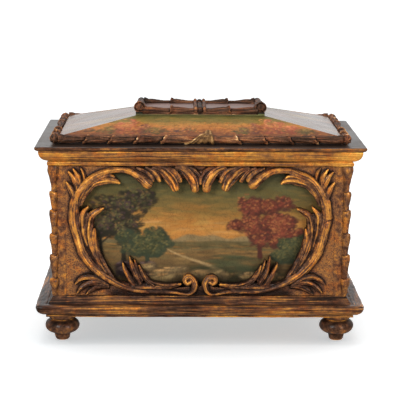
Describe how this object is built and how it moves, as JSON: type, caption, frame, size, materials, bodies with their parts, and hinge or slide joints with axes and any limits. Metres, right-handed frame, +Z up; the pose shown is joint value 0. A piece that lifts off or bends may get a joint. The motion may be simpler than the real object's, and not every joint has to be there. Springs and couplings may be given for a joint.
{
  "type": "carved casket",
  "caption": "Carved and gilt wooden table casket with painted panels in scroll cartouches, husk garlands, bun feet and a hinged hipped lid.",
  "frame": {"origin": "middle of the footprint, on the surface that the feet stand on", "axes": "+Z up, the front faces -Y, +X to the right as seen from the front"},
  "size_m": [0.4046, 0.2446, 0.2876],
  "materials": {
    "gilt_wood": "worn gilding over red bole on carved wood",
    "garland_wood": "dark stained carved wood with traces of gilding",
    "varnished_wood": "dark wood under glossy varnish",
    "painted_panel": "oil paint on a panel, aged varnish",
    "inside_wood": "bare stained wood",
    "hinge_brass": "aged brass",
    "screw_brass": "aged brass, slotted"
  },
  "bodies": {
    "case": {"bottom_board": "inside_wood", "base_moulding_front": "gilt_wood", "base_moulding_rear": "gilt_wood", "base_moulding_left": "gilt_wood", "base_moulding_right": "gilt_wood", "foot_front_left": "garland_wood", "foot_front_right": "garland_wood", "foot_rear_left": "garland_wood", "foot_rear_right": "garland_wood", "carcass_front": "inside_wood", "carcass_rear": "inside_wood", "carcass_left": "inside_wood", "carcass_right": "inside_wood", "painted_panel_front": "painted_panel", "painted_panel_rear": "painted_panel", "painted_panel_left": "painted_panel", "painted_panel_right": "painted_panel", "carved_frame_front": "gilt_wood", "carved_frame_rear": "gilt_wood", "carved_frame_left": "gilt_wood", "carved_frame_right": "gilt_wood", "corner_garland_front_left": "gilt_wood", "corner_garland_front_right": "gilt_wood", "corner_garland_rear_left": "gilt_wood", "corner_garland_rear_right": "gilt_wood", "cornice_front": "gilt_wood", "cornice_rear": "gilt_wood", "cornice_left": "gilt_wood", "cornice_right": "gilt_wood", "ledge_front": "varnished_wood", "ledge_rear": "varnished_wood", "ledge_left": "varnished_wood", "ledge_right": "varnished_wood", "hinge_case_leaf_left": "hinge_brass", "hinge_pin_left": "hinge_brass", "case_screw_left_inner": "screw_brass", "case_screw_left_outer": "screw_brass", "hinge_case_leaf_right": "hinge_brass", "hinge_pin_right": "hinge_brass", "case_screw_right_inner": "screw_brass", "case_screw_right_outer": "screw_brass"},
    "lid": {"lid_slope_front": "painted_panel", "lid_slope_rear": "painted_panel", "lid_slope_left": "varnished_wood", "lid_slope_right": "varnished_wood", "lid_top_panel": "varnished_wood", "eaves_garland_front": "garland_wood", "eaves_garland_rear": "garland_wood", "eaves_garland_left": "garland_wood", "eaves_garland_right": "garland_wood", "ridge_garland_front": "garland_wood", "ridge_garland_rear": "garland_wood", "ridge_garland_left": "garland_wood", "ridge_garland_right": "garland_wood", "hinge_lid_leaf_left": "hinge_brass", "lid_screw_left_inner": "screw_brass", "lid_screw_left_outer": "screw_brass", "hinge_lid_leaf_right": "hinge_brass", "lid_screw_right_inner": "screw_brass", "lid_screw_right_outer": "screw_brass"}
  },
  "joints": [
    {"name": "lid_hinge", "type": "hinge", "parent": "case", "child": "lid", "pos_m": [0, 0.1058, 0.2488], "axis": [-1, 0, 0], "range_deg": [0, 115]}
  ]
}
